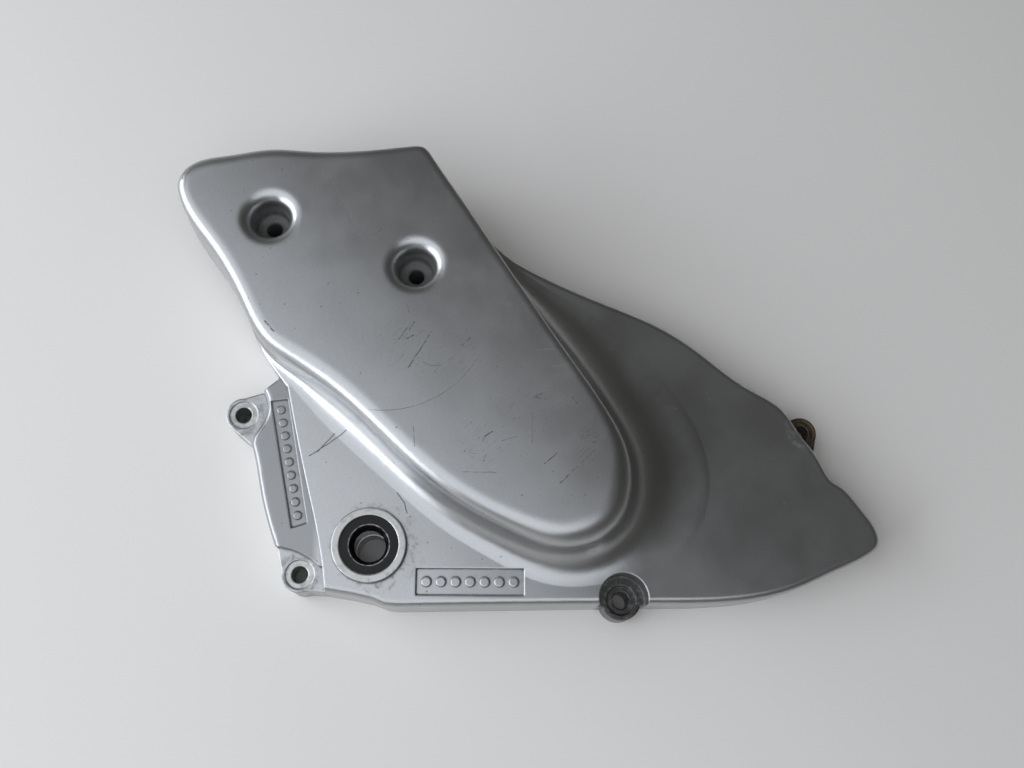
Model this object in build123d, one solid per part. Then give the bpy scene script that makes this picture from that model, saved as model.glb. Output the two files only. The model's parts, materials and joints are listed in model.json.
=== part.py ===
from build123d import *
import math
import os

os.makedirs("parts", exist_ok=True)

# Motorcycle sprocket cover lying on its mating face, chain guard up.
# Millimetres, +Z up from the mating face. Plan points are measured from the lower left lug hole.
# The finished pieces are moved so that the origin is at the bottom centre of the casting.

# Levels above the mating face
plateau_z = 47.0
shelf_z = 27.0
strip_z = 22.0
lug_z = 18.0
low_lug_z = 14.0
tail_z = 16.5
tail_x = 232.0
bend_x = 105.0
fall_start = 40.0
fall_end = 245.0
fall_slope = (shelf_z - tail_z) / (tail_x - bend_x)
seal_boss_z = 29.5

# Casting wall and edge roundings
wall = 3.0
wall_draft = 0.065
under = 2.0
shelf_round = 2.5
strip_round = 2.5

# Screw holes for M6 screws
screw_hole_r = 3.3
spot_face_r = 5.7
spot_face_depth = 0.6
lug_r = 7.0
dowel_r = 4.6
dowel_depth = 8.0

# Sunk screw seats in the plateau
sunk_seat_r = 7.0
sunk_wall_r = 7.5
sunk_flare_r = 11.6
sunk_flare_depth = 5.5
sunk_depth = 13.0
sunk_boss_r = 10.6

# Shift shaft seal and its boss
seal_at = (27.6, 10.2)
seal_r = 11.5
seal_width = 7.0
seal_sink = 0.8
seal_boss_r = 14.4
shaft_r = 6.0
shaft_clearance = 0.3
bore_relief_r = 9.0
bore_web_z = 10.0

# Plan positions of the screw holes
lug_left = (-26.4, 64.3)
lug_corner = (0.0, 0.0)
lug_bottom = (126.4, -9.2)
lug_tail = (204.3, 60.1)
sunk_upper = (-15.6, 139.3)
sunk_lower = (43.4, 119.2)

# Chain exit at the guard end of the plateau
exit_height = 37.0
exit_inset = 7.0
guard_rise = 24.0

# Inside ribs
rib_width = 2.6
rib_floor = 9.0

# Plaque pockets
plaque_depth = 0.8
pip_r = 1.6
pip_height = 0.6

# Plateau edge: plan x, plan y, radius of the top rim, radius of the hollow foot
plateau_points = (
    (-53.9, 151.3, 4.2, 0.0),
    (-53.3, 158.8, 4.2, 0.0),
    (-49.2, 163.6, 4.2, 0.0),
    (-34.0, 168.2, 4.5, 0.0),
    (-17.2, 171.2, 4.5, 0.0),
    (-3.0, 170.5, 4.0, 0.0),
    (20.0, 170.7, 3.0, 0.0),
    (39.5, 172.7, 2.0, 0.0),
    (45.8, 172.3, 1.8, 0.0),
    (49.3, 168.2, 1.8, 0.4),
    (61.0, 150.1, 1.8, 1.5),
    (70.8, 134.8, 1.8, 3.0),
    (80.6, 119.5, 1.8, 7.5),
    (90.9, 103.5, 1.8, 14.6),
    (101.2, 87.6, 2.0, 20.0),
    (118.4, 61.9, 3.0, 22.0),
    (126.9, 46.8, 6.0, 22.5),
    (129.4, 32.6, 9.0, 22.0),
    (125.3, 18.9, 10.0, 18.0),
    (114.1, 10.0, 9.5, 13.5),
    (99.6, 7.9, 8.0, 11.5),
    (82.7, 13.6, 6.4, 10.2),
    (60.5, 25.7, 5.6, 9.2),
    (36.4, 45.8, 5.6, 9.0),
    (13.0, 67.4, 5.6, 9.0),
    (-4.4, 79.7, 5.2, 4.2),
    (-14.9, 87.6, 4.4, 1.2),
    (-25.2, 104.4, 4.2, 0.0),
    (-39.4, 127.6, 4.2, 0.0),
)
# Shelf and wing outline, clockwise from the guard end, with the notch before the tail
wing_points = [
    (60.0, 160.0), (67.5, 148.0), (78.0, 135.6), (91.0, 127.0), (109.3, 118.2), (130.2, 109.8),
    (147.1, 102.2), (161.5, 92.6), (182.1, 77.3), (195.8, 68.5), (202.4, 58.1), (208.4, 49.8),
    (211.6, 43.4), (214.2, 39.3), (218.0, 36.8), (221.4, 33.4), (226.2, 27.0), (231.1, 19.0),
    (231.6, 13.5), (226.3, 8.5), (210.3, 1.2), (197.7, -4.3), (180.9, -8.9), (156.5, -11.2), (126.4, -11.6),
]
bottom_points = [(38.5, -13.0), (33.8, -12.6), (28.4, -10.4), (21.0, -8.8), (11.3, -7.2)]
step_points = [(6.1, 20.1), (0.2, 41.9), (-3.4, 56.2), (-8.2, 77.0)]
closing_points = [(20.0, 110.0), (50.0, 155.0)]

# Web between the left lug and the strip
left_web_points = ((-30.6, 69.9), (-19.0, 73.6), (-13.0, 70.0), (-14.0, 50.0), (-21.4, 51.2), (-30.9, 58.9))

# Strip outline, anticlockwise down its outer side
strip_points = [(-21.6, 51.0), (-19.2, 42.5), (-16.6, 31.0), (-12.4, 17.4), (-9.8, 10.6)]
well_points = [(-0.6, 8.4), (7.8, 3.0)]
back_points = [(14.0, 2.0), (2.0, 82.0), (-10.0, 86.0), (-12.7, 78.2), (-18.3, 73.4)]
neck_points = [(-16.4, 67.5), (-17.4, 61.5), (-20.4, 56.4)]

rim_depths = (0.0, 0.7, 2.0, 3.8, 6.0)
wall_depths = (6.0, 8.7, 11.4, 14.0)
foot_shares = (0.5, 0.85, 1.0)
foot_run_on = 0.3
base_depth = 26.5


def seg_lengths():
    """Running length of the plateau edge at each of its points."""
    total = [0.0]
    for here, ahead in zip(plateau_points, plateau_points[1:] + plateau_points[:1]):
        total.append(total[-1] + math.hypot(ahead[0] - here[0], ahead[1] - here[1]))
    return total


def plateau_normal(i):
    """Outward plan direction at one plateau point."""
    before = plateau_points[i - 1]
    after = plateau_points[(i + 1) % len(plateau_points)]
    dx = after[0] - before[0]
    dy = after[1] - before[1]
    length = math.hypot(dx, dy)
    return (-dy / length, dx / length)


def shelf_top(x):
    """Level of the shelf top above the mating face at a plan x."""
    if x <= fall_start:
        return shelf_z
    a = fall_start + fall_end - 2.0 * bend_x
    b = 2.0 * (bend_x - fall_start)
    t = (math.sqrt(b * b + 4.0 * a * (x - fall_start)) - b) / (2.0 * a)
    return shelf_z - fall_slope * (fall_end - bend_x) * t * t


def foot_level(i):
    """Level at which the hollow foot of the plateau runs out on the shelf at one plateau point."""
    x, y, rim, foot = plateau_points[i]
    return shelf_top(x + plateau_normal(i)[0] * foot)


def skin_reach(depth, rim, foot, foot_z):
    """Plan offset of the plateau skin at a depth under its top: round rim, wall, hollow foot."""
    if depth < rim:
        rise = rim - depth
        return math.sqrt(rim * rim - rise * rise) - rim
    height = plateau_z - foot_z - rim
    hollow = max(min(height, foot), 0.1)
    run = (depth - rim - height + hollow) / hollow
    run = max(0.0, min(run, 1.0))
    return wall_draft * min(depth - rim, height) + foot * (1.0 - math.sqrt(1.0 - run * run))


def plateau_curve(depths, grow, inset):
    """Closed curve on the plateau skin, or on the hollow when inset, with one depth for each point."""
    points = []
    for i, (x, y, rim, foot) in enumerate(plateau_points):
        nx, ny = plateau_normal(i)
        reach = skin_reach(depths[i], rim, foot, foot_level(i)) + grow * foot - inset
        points.append(Vector(x + nx * reach, y + ny * reach, plateau_z - inset - depths[i]))
    return Wire([Edge.make_spline(points, periodic=True, parameters=seg_lengths())])


def plateau_section(depth, inset, grow=0.0):
    """Level curve of the plateau skin at a depth."""
    return plateau_curve([depth] * len(plateau_points), grow, inset)


def foot_curve(share, grow, drop, inset):
    """Curve down the hollow foot, from the wall's lower end to the shelf and a little under it."""
    depths = []
    for i in range(len(plateau_points)):
        full = plateau_z - foot_level(i)
        depths.append(wall_depths[-1] + share * (full - wall_depths[-1]) + drop)
    return plateau_curve(depths, grow, inset)


def plateau_body(inset):
    """Plateau with its round rim, wall, hollow foot and skirt down to the mating face."""
    rim = Solid.make_loft([plateau_section(d, inset) for d in reversed(rim_depths)])
    side = Solid.make_loft([plateau_section(d, inset) for d in reversed(wall_depths)])
    curves = [plateau_section(wall_depths[-1], inset)]
    curves += [foot_curve(share, 0.0, 0.0, inset) for share in foot_shares]
    curves += [foot_curve(1.0, foot_run_on, 0.35, inset), plateau_section(base_depth, inset, foot_run_on + 0.05)]
    foot = Solid.make_loft(list(reversed(curves)))
    base = plateau_z - inset + (under if inset else 0.0)
    grow = foot_run_on + 0.05
    skirt = Solid.make_loft([plateau_section(base, inset, grow), plateau_section(base_depth, inset, grow)], True)
    return skirt + foot + side + rim


def moved_in(points, amount):
    """Closed run of plan points, clockwise or not, each moved inwards by an amount."""
    area = 0.0
    count = len(points)
    for i, (x, y) in enumerate(points):
        ahead = points[(i + 1) % count]
        area += x * ahead[1] - ahead[0] * y
    side = 1.0 if area > 0.0 else -1.0
    result = []
    for i, (x, y) in enumerate(points):
        before = points[i - 1]
        ahead = points[(i + 1) % count]
        one = math.atan2(y - before[1], x - before[0])
        two = math.atan2(ahead[1] - y, ahead[0] - x)
        half = math.remainder(two - one, 2.0 * math.pi) / 2.0
        middle = one + half + side * math.pi / 2.0
        step = min(amount / math.cos(half), 2.0 * amount)
        result.append((x + math.cos(middle) * step, y + math.sin(middle) * step))
    return result


def shelf_outline(inset):
    """Plan outline of the shelf and wing, closed under the plateau."""
    points = moved_in(wing_points + bottom_points + step_points + closing_points, inset)
    a = len(wing_points)
    b = a + len(bottom_points)
    c = b + len(step_points)
    wing = Spline(*points[:a])
    bottom = Polyline(*points[a - 1:b])
    step = Spline(*points[b - 1:c])
    close = Polyline(*points[c - 1:], points[0])
    return Face(Wire([wing, *bottom.edges(), step, *close.edges()]))


def fall_profile(drop):
    """Side profile of the shelf top: level over the shelf, then falling towards the tail."""
    level = shelf_z - drop
    end_z = level - fall_slope * (fall_end - bend_x)
    top = Bezier((fall_start, level), (bend_x, level), (fall_end, end_z))
    sides = Polyline(top @ 1, (fall_end, -under), (-20.0, -under), (-20.0, level), top @ 0)
    return Face(Wire([top, *sides.edges()]))


def fall_body(drop):
    """Everything under the shelf top."""
    profile = Plane.XZ * fall_profile(drop)
    return Pos(0, 200, 0) * extrude(profile, amount=240, dir=(0, -1, 0))


def column(at, radius, bottom, top):
    """Upright round column at a plan position."""
    return Pos(at[0], at[1], bottom) * extrude(Circle(radius), amount=top - bottom)


def rounded_edges(body, outline):
    """Upper edges of the wing, tail and bottom where the skin meets the trimmed outline."""
    found = []
    for edge in body.edges():
        middle = edge @ 0.5
        wanted = middle.X > 65.0 or (middle.Y < 0.0 and middle.X > 12.0)
        upper = middle.Z > tail_z - 3.0 and abs((edge % 0.5).Z) < 0.7
        if wanted and upper:
            gap = min(line.distance_to(Vertex(middle.X, middle.Y, 0.0)) for line in outline.edges())
            if gap < 0.05:
                found.append(edge)
    return found


def shelf_body():
    """Shelf and wing trimmed to the outline, with rounded outer edges."""
    outline = shelf_outline(0.0)
    block = extrude(outline, amount=plateau_z, dir=(0, 0, 1)) & fall_body(0.0)
    return fillet(rounded_edges(block, outline), shelf_round)


def strip_outline(inset):
    """Plan outline of the lower strip at the left of the shelf."""
    points = moved_in(strip_points + well_points + back_points + neck_points, inset)
    a = len(strip_points)
    b = a + len(well_points)
    c = b + len(back_points)
    outer = Spline(*points[:a])
    well = ThreePointArc(*points[a - 1:b])
    back = Polyline(*points[b - 1:c])
    neck = Spline(*points[c - 1:], points[0])
    return Face(Wire([outer, well, *back.edges(), neck]))


def strip_body():
    """Strip block with a rounded outer edge."""
    block = extrude(strip_outline(0.0), amount=strip_z, dir=(0, 0, 1))
    edges = [e for e in block.edges() if e.center().Z > strip_z - 0.1 and e.center().X < -5.0]
    edges = [e for e in edges if e.center().Y < 74.0 and e.length > 12.0]
    return fillet(edges, strip_round)


def lug_web(points, top):
    """Flat web between a lug and the wall behind it."""
    return extrude(Face(Wire(Polyline(*points, close=True).edges())), amount=top, dir=(0, 0, 1))


def lug_bodies():
    """The four outer lugs with their webs."""
    left = column(lug_left, lug_r, 0.0, lug_z)
    left += lug_web(left_web_points, lug_z)
    corner = column(lug_corner, lug_r, 0.0, lug_z)
    corner += lug_web(((-9.4, 11.0), (14.0, 11.0), (14.0, -7.0), (2.6, -6.5), (-6.9, 1.2)), lug_z)
    bottom = column(lug_bottom, lug_r + 0.8, 0.0, low_lug_z)
    tail = column(lug_tail, lug_r - 0.5, 0.0, low_lug_z - 2.0)
    tail += lug_web(((199.0, 64.6), (204.0, 66.6), (210.6, 59.0), (209.0, 52.0), (198.0, 56.0)), low_lug_z - 2.0)
    return left + corner + bottom + tail


def bottom_pocket():
    """Half round well in the bottom edge over the bottom lug."""
    width = 2.0 * (lug_r + 2.6)
    round_part = column(lug_bottom, lug_r + 2.6, low_lug_z, plateau_z)
    mouth = Pos(lug_bottom[0], lug_bottom[1] - 10.0, low_lug_z + 15.0) * Box(width, 20.0, 30.0)
    return round_part + mouth


def outer_block():
    """The whole casting as a solid lump, before it is hollowed."""
    lump = shelf_body() + plateau_body(0.0) + strip_body()
    lump = lump - bottom_pocket()
    return lump + lug_bodies() + column(seal_at, seal_boss_r, 0.0, seal_boss_z)


def sunk_seat(at):
    """Well for a sunk screw: flat seat, slightly flared wall and soft rounded mouth."""
    seat_z = plateau_z - sunk_depth
    mouth_z = plateau_z - sunk_flare_depth
    seat = Polyline((0.0, mouth_z + 20.0), (0.0, seat_z), (sunk_seat_r, seat_z), (sunk_wall_r, mouth_z))
    mouth = Spline((sunk_wall_r, mouth_z), (sunk_flare_r, plateau_z), tangents=((0.1, 1.0), (1.0, 0.25)))
    top = Polyline(mouth @ 1, (sunk_flare_r + 2.0, plateau_z + 0.5), (sunk_flare_r + 2.0, mouth_z + 20.0), seat @ 0)
    profile = Plane.XZ * Face(Wire([*seat.edges(), mouth, *top.edges()]))
    return Pos(at[0], at[1], 0.0) * revolve(profile, axis=Axis.Z)


def bosses():
    """Round columns that carry the screws and the seal inside the hollow."""
    group = column(sunk_upper, sunk_boss_r, -under, plateau_z - 1.0)
    group += column(sunk_lower, sunk_boss_r, -under, plateau_z - 1.0)
    group += column(seal_at, seal_boss_r + 0.6, -under, shelf_z - 1.0)
    group += column(lug_bottom, lug_r + 2.6 + wall, -under, low_lug_z + 2.0)
    for at in (lug_left, lug_corner, lug_tail):
        group += column(at, lug_r + 0.6, -under, lug_z - 1.0)
    return group


def rib(start, end, bottom, top):
    """Straight stiffening rib between two plan points."""
    length = math.hypot(end[0] - start[0], end[1] - start[1])
    angle = math.degrees(math.atan2(end[1] - start[1], end[0] - start[0]))
    middle = ((start[0] + end[0]) / 2.0, (start[1] + end[1]) / 2.0, (bottom + top) / 2.0)
    return Pos(*middle) * Rot(0, 0, angle) * Box(length, rib_width, top - bottom)


def ribs():
    """Ribs under the skin, clear of the sprocket and the chain."""
    group = rib(seal_at, (60.0, 28.0), rib_floor, plateau_z)
    group += rib(seal_at, (2.0, 45.0), rib_floor, plateau_z)
    group += rib((126.4, 0.0), (126.4, 24.0), rib_floor, plateau_z)
    group += rib((150.0, 60.0), (196.0, 30.0), rib_floor, plateau_z)
    group += rib((172.0, 85.0), (172.0, -10.0), rib_floor, plateau_z)
    return group


def inner_block():
    """The hollow under the skin, one wall smaller all round and open at the mating face."""
    shelf_in = Pos(0, 0, -under) * extrude(shelf_outline(wall), amount=plateau_z, dir=(0, 0, 1))
    hollow = (shelf_in & fall_body(wall)) + plateau_body(wall)
    strip_in = extrude(strip_outline(wall), amount=strip_z - wall + under, dir=(0, 0, 1))
    hollow = hollow + Pos(0, 0, -under) * strip_in
    well = column(lug_bottom, lug_r + 2.6 + wall, low_lug_z - 0.5, plateau_z)
    return hollow - bosses() - ribs() - well


def chain_exit():
    """Opening at the guard end, and the rise of the guard skirts towards it."""
    along = math.degrees(math.atan2(-0.84, 0.542))
    frame = Pos(49.8, 168.2, 0.0) * Rot(0, 0, along)
    slope = Polyline((33.0, -1.0), (-60.0, guard_rise), (-60.0, -1.0), close=True)
    side = Plane.XZ * Face(Wire(slope.edges()))
    rise = frame * Pos(0, 150.0, 0) * extrude(side, amount=300.0, dir=(0, -1, 0))
    mouth = Pos(-3.0, 176.0, exit_height / 2.0 - 0.5) * Box(100.0 - 2.0 * exit_inset, 44.0, exit_height + 1.0)
    keep = column(sunk_upper, sunk_boss_r, 0.0, plateau_z) + column(sunk_lower, sunk_boss_r, 0.0, plateau_z)
    return rise + mouth - keep


def screw_hole(at, top):
    """Through hole with a dressed spot face and a dowel counterbore underneath."""
    hole = column(at, screw_hole_r, -1.0, plateau_z + 1.0)
    return hole + column(at, spot_face_r, top - spot_face_depth, top + 1.0)


def holes():
    """All screw holes, dowel counterbores and the stepped seal bore."""
    group = screw_hole(lug_left, lug_z) + screw_hole(lug_corner, lug_z)
    group += screw_hole(lug_bottom, low_lug_z) + screw_hole(lug_tail, low_lug_z - 2.0)
    for at in (lug_corner, lug_tail):
        group += column(at, dowel_r, -1.0, dowel_depth)
    for at in (sunk_upper, sunk_lower):
        group += sunk_seat(at) + column(at, screw_hole_r, -1.0, plateau_z)
    group += column(seal_at, seal_r, seal_boss_z - seal_sink - seal_width, seal_boss_z + 1.0)
    group += column(seal_at, bore_relief_r, bore_web_z, seal_boss_z)
    group += column(seal_at, shaft_r + shaft_clearance, -1.0, seal_boss_z)
    return group


def plaques():
    """Two shallow plaque pockets holding only plain raised pips."""
    upright = Polyline((-14.9, 69.2), (-8.1, 70.1), (2.4, 19.6), (-3.7, 17.6), close=True)
    pocket = Pos(0, 0, strip_z - plaque_depth) * extrude(Face(Wire(upright.edges())), amount=5.0, dir=(0, 0, 1))
    for i in range(9):
        share = (i + 0.75) / 9.5
        at = (-11.5 + 10.8 * share, 69.6 - 51.0 * share)
        pocket -= column(at, pip_r, strip_z - plaque_depth - 1.0, strip_z - plaque_depth + pip_height)
    flat = Pos(66.7, -3.5, tail_z) * extrude(Rectangle(41.5, 10.2), amount=plateau_z - tail_z, dir=(0, 0, 1))
    flat -= fall_body(plaque_depth)
    pip_body = fall_body(plaque_depth - pip_height)
    for i in range(7):
        at = (66.7 + 5.6 * (i - 3), -3.5)
        flat -= column(at, pip_r + 0.3, tail_z, plateau_z) & pip_body
    return pocket + flat


def cover_casting():
    """The finished casting."""
    casting = outer_block() - inner_block()
    return casting - chain_exit() - holes() - plaques()


def ring(profile):
    """Turn a closed half section about the seal axis."""
    return Pos(seal_at[0], seal_at[1], 0.0) * revolve(Plane.XZ * profile, axis=Axis.Z)


def seal_parts():
    """Rubber body with its lip, moulded-in steel ring and garter spring."""
    top = seal_boss_z - seal_sink
    floor = top - seal_width
    lip_z = top - 4.6
    body = Polyline(
        (seal_r, floor), (seal_r, top), (seal_r - 3.6, top), (seal_r - 4.2, top - 0.8), (seal_r - 4.2, top - 3.0),
        (shaft_r + 0.1, lip_z), (shaft_r + 0.9, floor + 0.4), (shaft_r + 1.7, floor + 0.2),
        (shaft_r + 2.0, floor + 1.6), (seal_r - 3.2, top - 2.6 - 1.4), (seal_r - 3.2, floor), close=True,
    )
    rubber = ring(Face(Wire(body.edges())))
    insert = ring(Pos(seal_r - 1.5, floor + 2.6) * Rectangle(0.8, 4.4)) + ring(
        Pos(seal_r - 2.6, floor + 4.4) * Rectangle(2.2, 0.8))
    spring = ring(Pos(shaft_r + 2.4, floor + 0.9) * Circle(0.6))
    return rubber - insert - spring, insert, spring


casting = cover_casting()
rubber, insert, spring = seal_parts()
box = casting.bounding_box()
home = Pos(-box.center().X, -box.center().Y, 0.0)
export_step(home * casting, "parts/cover_casting.step")
export_step(home * rubber, "parts/seal_rubber.step")
export_step(home * insert, "parts/seal_insert.step")
export_step(home * spring, "parts/seal_spring.step")
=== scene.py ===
import json
import math

import bpy
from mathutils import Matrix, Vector


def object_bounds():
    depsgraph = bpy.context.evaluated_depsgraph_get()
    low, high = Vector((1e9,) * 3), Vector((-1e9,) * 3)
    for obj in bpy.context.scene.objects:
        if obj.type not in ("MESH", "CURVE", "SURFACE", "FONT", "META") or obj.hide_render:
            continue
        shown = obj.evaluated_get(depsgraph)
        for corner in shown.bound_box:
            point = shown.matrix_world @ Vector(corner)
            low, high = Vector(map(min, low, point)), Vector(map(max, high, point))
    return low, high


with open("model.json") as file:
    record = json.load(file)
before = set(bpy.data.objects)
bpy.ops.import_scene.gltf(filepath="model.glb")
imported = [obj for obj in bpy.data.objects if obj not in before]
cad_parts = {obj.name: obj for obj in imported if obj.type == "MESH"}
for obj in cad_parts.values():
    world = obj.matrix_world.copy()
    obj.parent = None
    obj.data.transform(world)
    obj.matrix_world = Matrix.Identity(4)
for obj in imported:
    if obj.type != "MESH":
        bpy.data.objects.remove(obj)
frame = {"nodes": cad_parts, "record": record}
cad_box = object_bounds()

mm = 0.001


def mount_place(name):
    """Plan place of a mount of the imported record, in millimetres."""
    for mount in frame["record"]["mounts"]:
        if mount["name"] == name:
            return (mount["pos_m"][0] / mm, mount["pos_m"][1] / mm)
    raise ValueError("no mount " + name)


# Plan places on the cover, in millimetres from its origin
seal_axis = mount_place("shift_shaft")
lug_left = mount_place("screw_lug_left")
lug_corner = mount_place("screw_lug_corner")
lug_bottom = mount_place("screw_lug_bottom")
lug_tail = mount_place("screw_lug_tail")
sunk_upper = mount_place("screw_sunk_upper")
sunk_lower = mount_place("screw_sunk_lower")
seal_dirt = (seal_axis[0] + 2.5, seal_axis[1] - 1.0)
tail_notch = (126.0, -41.0)
# Centre of the painted shade on the valley beside the guard's round end
valley = (50.0, -28.0)

# Heights above the mating face over which a mask goes from 0 to 1, in millimetres
GUARD_TOP = (40.0, 43.0)
OVER_STRIP = (20.0, 24.0)
UNDER_GUARD = (34.0, 30.0)
IN_WELLS = (44.0, 35.0)
LOW_LUGS = (21.0, 18.0)
IN_BOTTOM_WELL = (27.0, 23.0)
LOW_TAIL = (15.0, 12.5)
LUG_SEATS = (14.0, 16.0)
BOSS_TOP = (28.8, 29.2)
STRIP_FROM = (20.8, 21.3)
STRIP_TO = (22.5, 22.1)
OVER_SHELF = (28.0, 30.0)
# Places along X over which the strip's painted shade goes from 0 to 1, in millimetres
STRIP_SIDE = (-80.0, -84.0)

# Plan radii about a place over which a mask goes from 1 to 0, in millimetres
SEAL_DIRT_REACH = (14.0, 21.0)
WELL_REACH = (7.0, 9.5)
LUG_REACH = (7.5, 10.5)
BOTTOM_LUG_REACH = (8.5, 10.5)
TAIL_LUG_REACH = (9.0, 11.0)
NOTCH_REACH = (4.0, 9.0)
SEAT_REACH = (5.9, 6.2)
BOSS_REACH = (14.0, 14.3)
VALLEY_REACH = (12.0, 46.0)
CLEAR_OF_BOSS = (20.0, 15.0)

# The painted glint on the seal's rubber, a thin light circle, in millimetres
LIP_RADIUS = 7.9
GLINT_WIDTH = (0.3, 0.1)

# How far the painted shade of corners and creases and the rubbing of edges look for a neighbouring face, in
# millimetres
CORNER_SHADE_REACH = 4.0
CREVICE_SHADE_REACH = 1.1
EDGE_RUB = 1.2

# Colours
PAINT_DARK = (0.45, 0.455, 0.46)
PAINT_LIGHT = (0.475, 0.48, 0.485)
PAINT_FLAKE = (0.7, 0.7, 0.72)
# Painted shade for the valley beside the guard's round end
PAINT_VALLEY_SHADE = (0.15, 0.15, 0.135)
CAST_DARK = (0.30, 0.29, 0.27)
CAST_LIGHT = (0.46, 0.45, 0.43)
RUBBED_METAL = (0.62, 0.62, 0.62)
TURNED_METAL = (0.52, 0.52, 0.5)
# Dirt, also used as painted shade in corners, creases and wells
DIRT_AND_SHADE = (0.055, 0.05, 0.043)
# Painted shade on the left strip
STRIP_SHADE = (0.16, 0.16, 0.16)
# Near black for the bottom lug's well: painted shade and oil
OIL_AND_SHADE = (0.03, 0.028, 0.025)
TAIL_GRIME = (0.10, 0.075, 0.05)
SCRATCH = (0.075, 0.072, 0.068)
RUBBER_CLEAN = (0.004, 0.004, 0.005)
RUBBER_DUSTY = (0.014, 0.014, 0.013)
# Painted glint on the seal's rubber
RUBBER_GLINT = (0.36, 0.36, 0.36)
STEEL_DARK = (0.30, 0.29, 0.27)
STEEL_LIGHT = (0.50, 0.49, 0.47)
TABLE_DARK = (0.80, 0.775, 0.745)
TABLE_LIGHT = (0.83, 0.805, 0.775)
DAYLIGHT = (0.93, 0.98, 1.06)
CEILING_LIGHT = (0.94, 0.985, 1.05)
ROOM_BRIGHT = (0.55, 0.55, 0.54)
ROOM_DARK = (0.10, 0.097, 0.085)
ROOM_ABOVE = (0.055, 0.053, 0.046)

PAINT_METALLIC = 0.92
PAINT_ROUGH = (0.28, 0.33)
DIRT_ROUGH = 0.25
GRAIN_DEPTH = 0.08
# How far the shading of an edge is rounded, in millimetres, on small forms and on the guard
SMALL_ROUND = 0.9
GUARD_ROUND = 4.0

# Half widths of the listed scratches and how far they wander, in millimetres
THIN_WIDTH = 0.22
BROAD_WIDTH = 0.42
SHELF_WIDTH = 0.3
SWEEP_WIDTH = (0.2, 0.06)
WANDER = 0.6

# Listed scratches: runs of plan points in millimetres
THIN_LINES = (
    ((-82.8, 82.9), (-74.5, 68.2), (-67.4, 54.1)),
    ((-47.5, 23.9), (-46.5, 20.1)),
    ((1.7, -20.2), (1.5, -32.0)),
    ((-24.7, -43.5), (-12.0, -43.4)),
    ((3.8, 5.4), (11.3, 5.9)),
    ((9.6, -1.4), (19.4, -0.5)),
    ((11.1, -5.8), (18.9, -4.7)),
    ((-9.7, -31.2), (-4.0, -29.4)),
    ((-43.6, -26.0), (-43.0, -33.8)),
    ((4.4, -19.6), (13.1, -15.5)),
    ((-40.8, 0.1), (-37.7, -1.6), (-33.0, -1.2)),
)
BROAD_LINES = (
    ((-37.7, 12.4), (-41.3, 6.0), (-46.4, -2.7)),
    ((-44.3, 16.5), (-46.2, 13.0)),
    ((-47.2, 13.7), (-50.0, 9.3)),
    ((-44.6, 11.0), (-47.4, 9.3)),
    ((-22.4, 10.2), (-25.3, 7.1)),
    ((0.2, -15.0), (5.7, -12.2)),
    ((2.6, -13.9), (7.6, -14.4)),
    ((17.2, -13.8), (19.1, -16.0)),
    ((-17.3, -30.1), (-13.5, -27.6)),
    ((19.6, -30.6), (23.9, -25.9)),
    ((20.8, -30.6), (25.4, -27.0)),
    ((23.4, -31.4), (28.5, -27.4)),
    ((24.6, -31.7), (30.0, -29.3)),
    ((6.2, -40.0), (11.1, -35.7)),
    ((12.1, -47.3), (20.0, -39.7), (26.4, -33.7)),
    ((-58.2, 56.0), (-60.9, 53.3)),
    ((-102.6, 15.9), (-98.8, 11.8)),
    ((-139.0, 81.6), (-140.2, 77.1)),
)
SHELF_LINES = (
    ((-50.4, -47.7), (-47.5, -51.6), (-46.4, -55.6)),
    ((-85.5, -33.1), (-78.0, -28.0), (-71.4, -22.8)),
    ((-82.4, -31.5), (-76.1, -24.1)),
)
# The long round scratch: its plan centre and radius, and the place and reach that end it
SWEEP_CENTRE = (-56.0, 22.0)
SWEEP_RADIUS = 41.7
SWEEP_MIDDLE = (-31.0, -3.0)
SWEEP_REACH = (31.0, 36.0)
# Areas with many fine scratches: plan centre, and the radii over which they end
WORN_AREAS = (
    ((-43.0, 8.0), (6.0, 22.0)),
    ((24.0, -32.0), (4.0, 17.0)),
    ((2.0, -18.0), (4.0, 20.0)),
    ((-25.0, 4.0), (2.0, 14.0)),
    ((-18.0, -32.0), (2.0, 14.0)),
)
# Fine scratches: their angle in degrees, and the noise level above which they show
FINE_SETS = ((-52, 0.66), (-38, 0.68), (8, 0.72))

# The camera: its place in metres, its turn about X and Y in degrees from straight down, and its
# focal length in widths of the picture
CAMERA_PLACE = (-0.019178, -0.125515, 0.435)
CAMERA_TURN = (16.7493, -1.9326)
FOCAL_WIDTHS = 1050.0 / 1024.0
SENSOR_WIDTH = 36.0

# The table and the lamps: metres and watts
TABLE_SIZE = 6.0
WINDOW_PLACE = (-1.5, -0.1, 0.6)
WINDOW_SIZE = (2.2, 0.9)
WINDOW_POWER = 24.0
CEILING_PLACE = (-0.622, -0.410, 1.3)
CEILING_SIZE = (1.7, 2.4)
CEILING_POWER = 15.5
CEILING_TURN = 45.0


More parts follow.
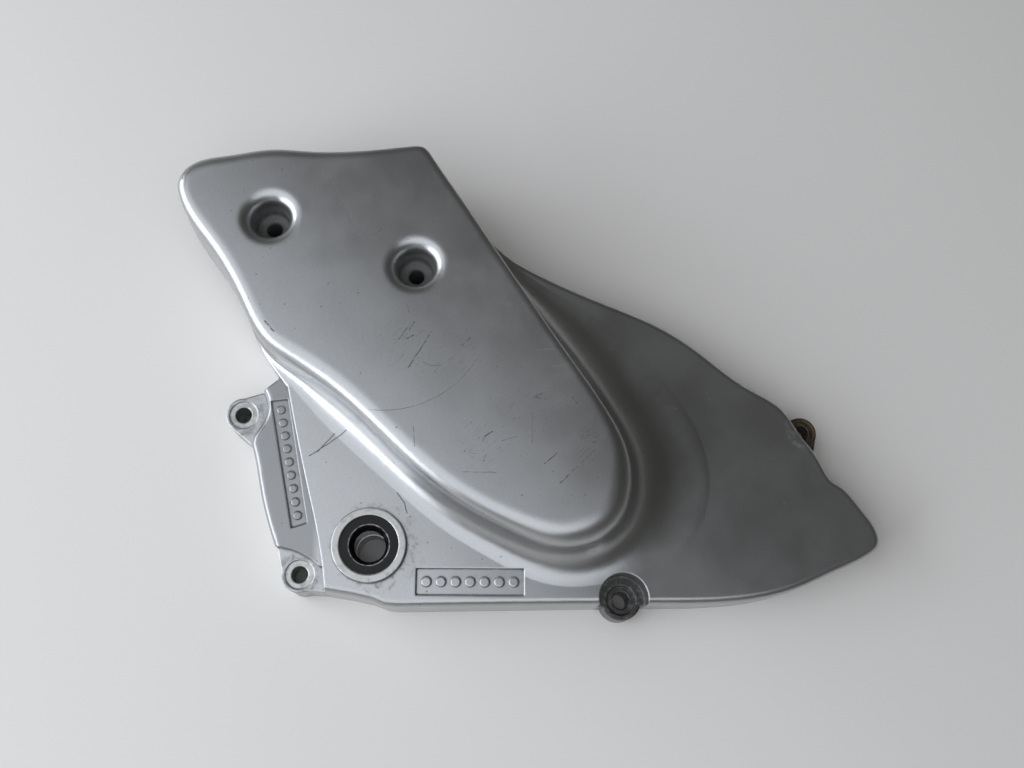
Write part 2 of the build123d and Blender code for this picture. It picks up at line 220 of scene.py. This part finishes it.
class Nodes:
    """Short way to lay out one node tree."""

    def __init__(self, tree):
        self.tree = tree

    def add(self, kind, values=None, **settings):
        node = self.tree.nodes.new(kind)
        for name, value in settings.items():
            setattr(node, name, value)
        for key, value in (values or {}).items():
            self.feed(node.inputs[key], value)
        return node

    def feed(self, socket, value):
        """Links a socket to another, or sets its number, colour or vector."""
        if isinstance(value, bpy.types.NodeSocket):
            self.tree.links.new(value, socket)
        else:
            socket.default_value = value

    def math(self, operation, first, second=0.5, clamp=False):
        node = self.add("ShaderNodeMath", {0: first, 1: second}, operation=operation, use_clamp=clamp)
        return node.outputs[0]

    def times(self, first, second):
        return self.math("MULTIPLY", first, second)

    def vector(self, operation, first, second=(0, 0, 0)):
        node = self.add("ShaderNodeVectorMath", {0: first, 1: second}, operation=operation)
        is_number = operation in ("LENGTH", "DISTANCE", "DOT_PRODUCT")
        return node.outputs["Value"] if is_number else node.outputs[0]

    def scaled(self, vector, factor):
        node = self.add("ShaderNodeVectorMath", {0: vector, "Scale": factor}, operation="SCALE")
        return node.outputs[0]

    def span(self, value, low, high, at_low=0.0, at_high=1.0):
        """Goes smoothly from one output to the other as the value goes from low to high."""
        values = {0: value, 1: low, 2: high, 3: at_low, 4: at_high}
        return self.add("ShaderNodeMapRange", values, interpolation_type="SMOOTHSTEP").outputs[0]

    def along(self, length, ends):
        """0 to 1 as a length in metres goes from the first to the second end, in millimetres."""
        return self.span(length, ends[0] * mm, ends[1] * mm)

    def noise(self, place, scale, detail=2.0, rough=0.5):
        values = {"Vector": place, "Scale": scale, "Detail": detail, "Roughness": rough}
        return self.add("ShaderNodeTexNoise", values).outputs[0]

    def blend(self, share, under, over):
        node = self.add("ShaderNodeMix", {0: share}, data_type="RGBA")
        for key, value in ((6, under), (7, over)):
            is_colour = isinstance(value, tuple)
            self.feed(node.inputs[key], value + (1.0,) if is_colour else value)
        return node.outputs[2]

    def most(self, masks):
        total = masks[0]
        for mask in masks[1:]:
            total = self.math("MAXIMUM", total, mask)
        return total


def new_material(name):
    material = bpy.data.materials.new(name)
    material.use_nodes = True
    tree = material.node_tree
    return material, Nodes(tree), tree.nodes["Principled BSDF"]


def plan_distance(nodes, place, centre):
    """Distance in plan, in metres, from a place to a point given in millimetres."""
    flat = nodes.vector("MULTIPLY", place, (1, 1, 0))
    return nodes.vector("DISTANCE", flat, (centre[0] * mm, centre[1] * mm, 0))


def round_mask(nodes, place, centre, reach):
    """1 inside the first plan radius about a place on the cover, 0 outside the second."""
    return nodes.span(plan_distance(nodes, place, centre), reach[0] * mm, reach[1] * mm, 1.0, 0.0)


def round_masks(nodes, place, centres, reach):
    """The same about several places."""
    return nodes.most([round_mask(nodes, place, centre, reach) for centre in centres])


def stroke_group():
    """Adds one straight scratch between two plan points to the mask of those before it."""
    tree = bpy.data.node_groups.new("stroke", "ShaderNodeTree")
    for name in ("Place", "From", "To"):
        tree.interface.new_socket(name, in_out="INPUT", socket_type="NodeSocketVector")
    for name in ("Width", "Before"):
        tree.interface.new_socket(name, in_out="INPUT", socket_type="NodeSocketFloat")
    tree.interface.new_socket("Mask", in_out="OUTPUT", socket_type="NodeSocketFloat")
    nodes = Nodes(tree)
    place, start, end, width, before = nodes.add("NodeGroupInput").outputs[:5]
    flat = nodes.vector("MULTIPLY", place, (1, 1, 0))
    run = nodes.vector("SUBTRACT", end, start)
    offset = nodes.vector("SUBTRACT", flat, start)
    covered = nodes.vector("DOT_PRODUCT", offset, run)
    share = nodes.math("DIVIDE", covered, nodes.vector("DOT_PRODUCT", run, run), clamp=True)
    gap = nodes.vector("DISTANCE", offset, nodes.scaled(run, share))
    mask = nodes.span(gap, nodes.times(width, 0.3), width, 1.0, 0.0)
    nodes.add("NodeGroupOutput", {0: nodes.math("MAXIMUM", mask, before)})
    return tree


def strokes(nodes, group, place, lines, width):
    """The strongest of many scratches. Each line is a run of plan points in millimetres."""
    mask = 0.0
    for line in lines:
        for start, end in zip(line, line[1:]):
            from_point = (start[0] * mm, start[1] * mm, 0)
            to_point = (end[0] * mm, end[1] * mm, 0)
            node = nodes.add("ShaderNodeGroup", node_tree=group)
            for key, value in enumerate((place, from_point, to_point, width * mm, mask)):
                nodes.feed(node.inputs[key], value)
            mask = node.outputs[0]
    return mask


def fine_scratches(nodes, place, angle, threshold):
    """Many short parallel scratches at one angle in degrees."""
    values = {"Vector": place, "Angle": math.radians(angle)}
    turned = nodes.add("ShaderNodeVectorRotate", values, rotation_type="Z_AXIS").outputs[0]
    stretched = nodes.vector("MULTIPLY", turned, (160.0, 2600.0, 0.0))
    return nodes.span(nodes.noise(stretched, 1.0, 1.0), threshold, threshold + 0.05)


def scratch_mask(nodes, place, top, shelf_levels):
    """Listed scratches on the guard and the shelf, and fine ones on the guard's worn areas."""
    wobble_values = {"Vector": place, "Scale": 300.0, "Detail": 1.0}
    wobble = nodes.add("ShaderNodeTexNoise", wobble_values).outputs["Color"]
    aside = nodes.vector("SUBTRACT", wobble, (0.5, 0.5, 0.5))
    bent = nodes.vector("ADD", place, nodes.scaled(aside, WANDER * mm))
    group = stroke_group()
    thin = strokes(nodes, group, bent, THIN_LINES, THIN_WIDTH)
    off_sweep = nodes.math("SUBTRACT", plan_distance(nodes, bent, SWEEP_CENTRE), SWEEP_RADIUS * mm)
    sweep = nodes.along(nodes.math("ABSOLUTE", off_sweep), SWEEP_WIDTH)
    sweep_part = round_mask(nodes, bent, SWEEP_MIDDLE, SWEEP_REACH)
    thin = nodes.most([thin, nodes.times(sweep, sweep_part)])
    broad = strokes(nodes, group, bent, BROAD_LINES, BROAD_WIDTH)
    broken = nodes.span(nodes.noise(place, 900.0, 2.0, 0.6), 0.36, 0.56)
    thin = nodes.times(thin, nodes.span(broken, 0.0, 1.0, 0.35, 0.8))
    broad = nodes.times(broad, nodes.span(broken, 0.0, 1.0, 0.3, 1.0))
    by_hand = nodes.times(nodes.math("MAXIMUM", thin, broad), top)
    worn = nodes.most([round_mask(nodes, place, *area) for area in WORN_AREAS])
    fine = nodes.most([fine_scratches(nodes, place, *fine_set) for fine_set in FINE_SETS])
    fine = nodes.times(nodes.times(fine, worn), nodes.times(top, 0.75))
    on_shelf = strokes(nodes, group, bent, SHELF_LINES, SHELF_WIDTH)
    return nodes.most([by_hand, fine, nodes.times(on_shelf, shelf_levels)])


def speck_mask(nodes, place):
    """Specks of dirt and small chips, in a few of the cells of a Voronoi pattern."""
    cells = nodes.add("ShaderNodeTexVoronoi", {"Vector": place, "Scale": 420.0, "Randomness": 1.0})
    pick = nodes.add("ShaderNodeSeparateColor", {0: cells.outputs["Color"]}).outputs[0]
    size = nodes.times(nodes.span(pick, 0.7, 1.0), 0.2)
    specks = nodes.span(cells.outputs["Distance"], nodes.times(size, 0.5), size, 1.0, 0.0)
    return nodes.times(specks, nodes.span(pick, 0.7, 0.71))


def closeness(nodes, distance, samples, inside=False):
    """Ambient occlusion over a distance in millimetres: 1 in the open, 0 in a tight corner."""
    values = {"Distance": distance * mm}
    settings = {"samples": samples, "only_local": True, "inside": inside}
    return nodes.add("ShaderNodeAmbientOcclusion", values, **settings).outputs["AO"]


def silver_paint():
    """Worn satin silver paint over cast metal, with painted shade in corners, creases and wells, in the
    valley and on the strip.
    """
    material, nodes, shader = new_material("silver_paint")
    place = nodes.add("ShaderNodeTexCoord").outputs["Object"]
    place_axes = nodes.add("ShaderNodeSeparateXYZ", {0: place}).outputs
    height = place_axes[2]
    normal = nodes.add("ShaderNodeNewGeometry").outputs["Normal"]
    facing = nodes.add("ShaderNodeSeparateXYZ", {0: normal}).outputs[2]
    top = nodes.times(nodes.along(height, GUARD_TOP), nodes.span(facing, 0.3, 0.7))
    shelf_levels = nodes.times(nodes.along(height, OVER_STRIP), nodes.along(height, UNDER_GUARD))
    scratch = scratch_mask(nodes, place, top, shelf_levels)
    specks = speck_mask(nodes, place)

    # Painted shade in corners and creases, broken up by noise like dirt, and bare rubbed edges
    corner = closeness(nodes, CORNER_SHADE_REACH, 6)
    cloud = nodes.noise(place, 420.0, 5.0, 0.7)
    corner_shade = nodes.times(nodes.span(corner, 0.7, 0.3), nodes.span(cloud, 0.3, 0.7))
    crevice_shade = closeness(nodes, CREVICE_SHADE_REACH, 8)
    crevice_shade = nodes.times(nodes.span(crevice_shade, 0.9, 0.6), nodes.span(cloud, 0.3, 0.6, 0.6, 1.0))
    edge = nodes.span(closeness(nodes, EDGE_RUB, 6, inside=True), 0.55, 0.3)
    rubbed = nodes.times(edge, nodes.span(nodes.noise(place, 500.0, 3.0, 0.6), 0.45, 0.62))

    # Dirt around the seal and on the low lugs; painted shade with some dirt inside the sunk wells, and
    # painted shade with oil in the bottom lug's well
    ring = round_mask(nodes, place, seal_dirt, SEAL_DIRT_REACH)
    ring = nodes.times(nodes.times(ring, nodes.span(cloud, 0.5, 0.72, 0.0, 0.6)), shelf_levels)
    # Painted shade with dirt: darker inside the sunk wells
    well_shade_and_dirt = round_masks(nodes, place, (sunk_upper, sunk_lower), WELL_REACH)
    well_shade_and_dirt = nodes.times(well_shade_and_dirt, nodes.along(height, IN_WELLS))
    lugs = round_masks(nodes, place, (lug_left, lug_corner, lug_tail), LUG_REACH)
    lugs = nodes.times(lugs, nodes.along(height, LOW_LUGS))
    lugs = nodes.times(lugs, nodes.span(cloud, 0.4, 0.65, 0.05, 0.6))
    # Painted shade with oil: near black inside the bottom lug's well
    oil_and_shade = round_mask(nodes, place, lug_bottom, BOTTOM_LUG_REACH)
    oil_and_shade = nodes.times(oil_and_shade, nodes.along(height, IN_BOTTOM_WELL))
    oil_and_shade = nodes.times(oil_and_shade, nodes.span(cloud, 0.3, 0.55, 0.75, 1.0))
    tail_lug = round_mask(nodes, place, lug_tail, TAIL_LUG_REACH)
    notch = round_mask(nodes, place, tail_notch, NOTCH_REACH)
    tail = nodes.times(nodes.most([tail_lug, notch]), nodes.along(height, LOW_TAIL))
    well_shade_and_dirt = nodes.times(well_shade_and_dirt, nodes.span(cloud, 0.3, 0.6, 0.85, 1.0))
    # Real dirt together with painted shade from corners, creases and wells
    dirt_and_shade = nodes.most([corner_shade, crevice_shade, ring, well_shade_and_dirt, lugs, nodes.times(specks, 0.7)])

    # Turned faces: the lugs' seats and the seal boss
    seats = round_masks(nodes, place, (lug_left, lug_corner), SEAT_REACH)
    seats = nodes.times(seats, nodes.along(height, LUG_SEATS))
    boss = nodes.times(round_mask(nodes, place, seal_axis, BOSS_REACH), nodes.along(height, BOSS_TOP))
    turned = nodes.times(nodes.most([seats, boss]), nodes.span(facing, 0.8, 0.95))

    # Faces that look down belong to the inside, which isn't painted
    inside = nodes.span(facing, 0.0, -0.2)

    # Colour, from the paint and the cast metal up to the scratches
    mottle = nodes.noise(place, 38.0, 4.0, 0.6)
    flakes = nodes.noise(place, 1500.0, 1.0)
    paint = nodes.blend(nodes.span(mottle, 0.3, 0.7), PAINT_DARK, PAINT_LIGHT)
    paint = nodes.blend(nodes.span(flakes, 0.35, 0.65, 0.0, 0.1), paint, PAINT_FLAKE)
    # Painted shade: the paint is darker in the valley beside the guard's round end
    valley_shade = nodes.times(round_mask(nodes, place, valley, VALLEY_REACH), 0.3)
    paint = nodes.blend(valley_shade, paint, PAINT_VALLEY_SHADE)
    cast = nodes.span(nodes.noise(place, 120.0, 5.0, 0.65), 0.35, 0.65)
    cast = nodes.blend(cast, CAST_DARK, CAST_LIGHT)
    # Painted shade: the left strip is darker
    strip_shade = nodes.times(nodes.along(height, STRIP_FROM), nodes.along(height, STRIP_TO))
    strip_shade = nodes.times(strip_shade, nodes.along(place_axes[0], STRIP_SIDE))
    colour = nodes.blend(inside, paint, cast)
    colour = nodes.blend(nodes.times(rubbed, 0.8), colour, RUBBED_METAL)
    colour = nodes.blend(nodes.times(dirt_and_shade, 0.8), colour, DIRT_AND_SHADE)
    colour = nodes.blend(nodes.times(turned, nodes.span(cloud, 0.3, 0.6, 0.9, 0.5)), colour, TURNED_METAL)
    colour = nodes.blend(nodes.times(strip_shade, 0.55), colour, STRIP_SHADE)
    colour = nodes.blend(nodes.times(oil_and_shade, 0.92), colour, OIL_AND_SHADE)
    colour = nodes.blend(tail, colour, TAIL_GRIME)
    colour = nodes.blend(nodes.times(scratch, 0.88), colour, SCRATCH)
    nodes.feed(shader.inputs["Base Color"], colour)

    # Gloss: dirt and the painted shade, scratches and the bare inside are duller
    metallic = nodes.span(nodes.math("ADD", dirt_and_shade, scratch), 0.0, 1.0, 1.0, 0.3)
    nodes.feed(shader.inputs["Metallic"], nodes.times(metallic, PAINT_METALLIC))
    rough = nodes.span(mottle, 0.3, 0.7, *PAINT_ROUGH)
    rough = nodes.math("ADD", rough, nodes.times(nodes.most([dirt_and_shade, scratch, inside]), DIRT_ROUGH))
    nodes.feed(shader.inputs["Roughness"], rough)

    # Fine grain over edges that the shading rounds, so the guard's rim and foot run into their faces
    grain = nodes.noise(place, 1300.0, 3.0, 0.6)
    guard = nodes.times(nodes.along(height, OVER_SHELF), round_mask(nodes, place, seal_axis, CLEAR_OF_BOSS))
    radius = nodes.span(guard, 0.0, 1.0, SMALL_ROUND * mm, GUARD_ROUND * mm)
    rounded = nodes.add("ShaderNodeBevel", {"Radius": radius}, samples=8).outputs[0]
    bump_values = {"Strength": nodes.span(inside, 0.0, 1.0, 0.2, 0.6), "Distance": GRAIN_DEPTH * mm,
                   "Height": grain, "Normal": rounded}
    nodes.feed(shader.inputs["Normal"], nodes.add("ShaderNodeBump", bump_values).outputs[0])
    return material


def seal_rubber():
    """Black rubber with dust, and a painted glint: a thin light circle around the lip."""
    material, nodes, shader = new_material("seal_rubber")
    place = nodes.add("ShaderNodeTexCoord").outputs["Object"]
    dust = nodes.span(nodes.noise(place, 350.0, 4.0, 0.6), 0.45, 0.7)
    # Painted glint: a thin light circle round the lip, broken up by noise
    off_circle = nodes.math("SUBTRACT", plan_distance(nodes, place, seal_axis), LIP_RADIUS * mm)
    line = nodes.along(nodes.math("ABSOLUTE", off_circle), GLINT_WIDTH)
    line = nodes.times(line, nodes.span(nodes.noise(place, 700.0, 3.0, 0.6), 0.35, 0.6, 0.25, 1.0))
    colour = nodes.blend(dust, RUBBER_CLEAN, RUBBER_DUSTY)
    nodes.feed(shader.inputs["Base Color"], nodes.blend(line, colour, RUBBER_GLINT))
    nodes.feed(shader.inputs["Roughness"], nodes.span(dust, 0.0, 1.0, 0.3, 0.5))
    shader.inputs["Specular IOR Level"].default_value = 0.3
    return material


def steel():
    material, nodes, shader = new_material("steel")
    place = nodes.add("ShaderNodeTexCoord").outputs["Object"]
    wear = nodes.noise(place, 600.0, 3.0, 0.6)
    nodes.feed(shader.inputs["Base Color"], nodes.blend(wear, STEEL_DARK, STEEL_LIGHT))
    nodes.feed(shader.inputs["Roughness"], nodes.span(wear, 0.3, 0.7, 0.3, 0.5))
    shader.inputs["Metallic"].default_value = 1.0
    return material


def table_top():
    material, nodes, shader = new_material("table_top")
    place = nodes.add("ShaderNodeTexCoord").outputs["Object"]
    nodes.feed(shader.inputs["Base Color"], nodes.blend(nodes.noise(place, 3.0), TABLE_DARK, TABLE_LIGHT))
    shader.inputs["Roughness"].default_value = 0.55
    shader.inputs["Specular IOR Level"].default_value = 0.3
    return material


def dress(node_name, material):
    node = frame["nodes"][node_name]
    node.data.materials.clear()
    node.data.materials.append(material)


def lay_table():
    bpy.ops.mesh.primitive_plane_add(size=TABLE_SIZE, location=(0.0, 0.0, cad_box[0][2]))
    plane = bpy.context.object
    plane.name = "table_plane"
    plane.data.materials.append(table_top())


def into_scene(name, data):
    made = bpy.data.objects.new(name, data)
    bpy.context.scene.collection.objects.link(made)
    return made


def place_camera():
    """The photo's view: over the cover's lower edge, looking almost straight down."""
    data = bpy.data.cameras.new("camera")
    data.sensor_width = SENSOR_WIDTH
    data.lens = SENSOR_WIDTH * FOCAL_WIDTHS
    data.clip_start = 0.01
    camera = into_scene("camera", data)
    camera.location = CAMERA_PLACE
    camera.rotation_euler = (math.radians(CAMERA_TURN[0]), math.radians(CAMERA_TURN[1]), 0.0)
    bpy.context.scene.camera = camera


def soft_lamp(name, place, size, power, colour):
    """A flat rectangular lamp that shines straight down until it is turned."""
    data = bpy.data.lights.new(name, "AREA")
    data.shape = "RECTANGLE"
    data.size, data.size_y = size
    data.energy = power
    data.color = colour
    lamp = into_scene(name, data)
    lamp.location = place
    return lamp


def light_room():
    """A low window to the left, a ceiling that ends above the cover, and a room darker to the right."""
    window = soft_lamp("window", WINDOW_PLACE, WINDOW_SIZE, WINDOW_POWER, DAYLIGHT)
    window.rotation_euler = (-Vector(WINDOW_PLACE)).to_track_quat("-Z", "Y").to_euler()
    ceiling = soft_lamp("ceiling", CEILING_PLACE, CEILING_SIZE, CEILING_POWER, CEILING_LIGHT)
    ceiling.rotation_euler = (0.0, 0.0, math.radians(CEILING_TURN))

    world = bpy.data.worlds.new("room")
    world.use_nodes = True
    bpy.context.scene.world = world
    nodes = Nodes(world.node_tree)
    way = nodes.add("ShaderNodeTexCoord").outputs["Generated"]
    way_axes = nodes.add("ShaderNodeSeparateXYZ", {0: way}).outputs
    across = nodes.span(nodes.math("ADD", way_axes[0], nodes.times(way_axes[1], 0.35)), -0.8, 0.5)
    horizon = nodes.blend(across, ROOM_BRIGHT, ROOM_DARK)
    background = world.node_tree.nodes["Background"]
    nodes.feed(background.inputs[0], nodes.blend(nodes.span(way_axes[2], 0.0, 0.7), horizon, ROOM_ABOVE))
    background.inputs[1].default_value = 1.0


dress("cover_casting", silver_paint())
dress("seal_rubber", seal_rubber())
steel_material = steel()
dress("seal_insert", steel_material)
dress("seal_spring", steel_material)
lay_table()
place_camera()
light_room()
bpy.context.scene.view_settings.view_transform = "Standard"
